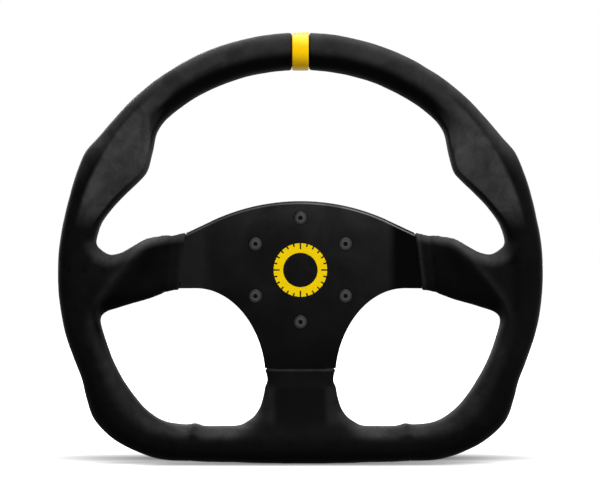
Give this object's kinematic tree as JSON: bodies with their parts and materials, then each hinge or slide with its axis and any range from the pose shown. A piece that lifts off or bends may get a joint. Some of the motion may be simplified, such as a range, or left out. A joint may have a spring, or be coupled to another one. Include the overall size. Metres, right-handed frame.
{
  "type": "steering wheel with quick release hub",
  "caption": "Flat-bottomed three-spoke racing wheel with a suede rim, bent spoke plate, centre band and the wheel half of a sprung ball-lock quick release.",
  "frame": {"origin": "centre of the coupler's rear end face, on the steering axis, where the column enters", "axes": "+X to the driver's right, +Y along the steering axis towards the column, +Z towards twelve o'clock"},
  "size_m": [0.32, 0.0775, 0.2849],
  "materials": {
    "plate": "satin black anodised",
    "foam": "moulded foam",
    "suede": "napped black suede",
    "band": "matte yellow",
    "screws": "dull zinc",
    "coupler": "satin black anodised",
    "ring": "satin red anodised",
    "steel": "bright"
  },
  "bodies": {
    "root": {"spoke_frame": "plate", "rim_core": "foam", "cover_left": "suede", "cover_right": "suede", "cover_bottom": "suede", "centre_band": "band", "plate_screw_1": "screws", "plate_screw_2": "screws", "plate_screw_3": "screws", "plate_screw_4": "screws", "plate_screw_5": "screws", "plate_screw_6": "screws", "coupler_body": "coupler", "retaining_clip": "steel", "return_spring": "steel"},
    "release_ring": {"release_ring": "ring"},
    "lock_ball_1": {"lock_ball_1": "steel"},
    "lock_ball_2": {"lock_ball_2": "steel"},
    "lock_ball_3": {"lock_ball_3": "steel"},
    "lock_ball_4": {"lock_ball_4": "steel"},
    "lock_ball_5": {"lock_ball_5": "steel"},
    "lock_ball_6": {"lock_ball_6": "steel"}
  },
  "joints": [
    {"name": "release_ring_slide", "type": "slide", "parent": "root", "child": "release_ring", "axis": [0, -1, 0], "range_m": [0, 0.007], "stiffness_N_per_m": 2500, "springref_m": -0.01, "deforming": ["return_spring"]},
    {"name": "lock_ball_1_slide", "type": "slide", "parent": "root", "child": "lock_ball_1", "axis": [1, 0, 0], "range_m": [0, 0.0012]},
    {"name": "lock_ball_2_slide", "type": "slide", "parent": "root", "child": "lock_ball_2", "axis": [0.5, 0, 0.866], "range_m": [0, 0.0012]},
    {"name": "lock_ball_3_slide", "type": "slide", "parent": "root", "child": "lock_ball_3", "axis": [-0.5, 0, 0.866], "range_m": [0, 0.0012]},
    {"name": "lock_ball_4_slide", "type": "slide", "parent": "root", "child": "lock_ball_4", "axis": [-1, 0, 0], "range_m": [0, 0.0012]},
    {"name": "lock_ball_5_slide", "type": "slide", "parent": "root", "child": "lock_ball_5", "axis": [-0.5, 0, -0.866], "range_m": [0, 0.0012]},
    {"name": "lock_ball_6_slide", "type": "slide", "parent": "root", "child": "lock_ball_6", "axis": [0.5, 0, -0.866], "range_m": [0, 0.0012]}
  ],
  "couplings": [
    {"joint": "lock_ball_1_slide", "follows": "release_ring_slide", "ratio": 0.17143},
    {"joint": "lock_ball_2_slide", "follows": "release_ring_slide", "ratio": 0.17143},
    {"joint": "lock_ball_3_slide", "follows": "release_ring_slide", "ratio": 0.17143},
    {"joint": "lock_ball_4_slide", "follows": "release_ring_slide", "ratio": 0.17143},
    {"joint": "lock_ball_5_slide", "follows": "release_ring_slide", "ratio": 0.17143},
    {"joint": "lock_ball_6_slide", "follows": "release_ring_slide", "ratio": 0.17143}
  ]
}
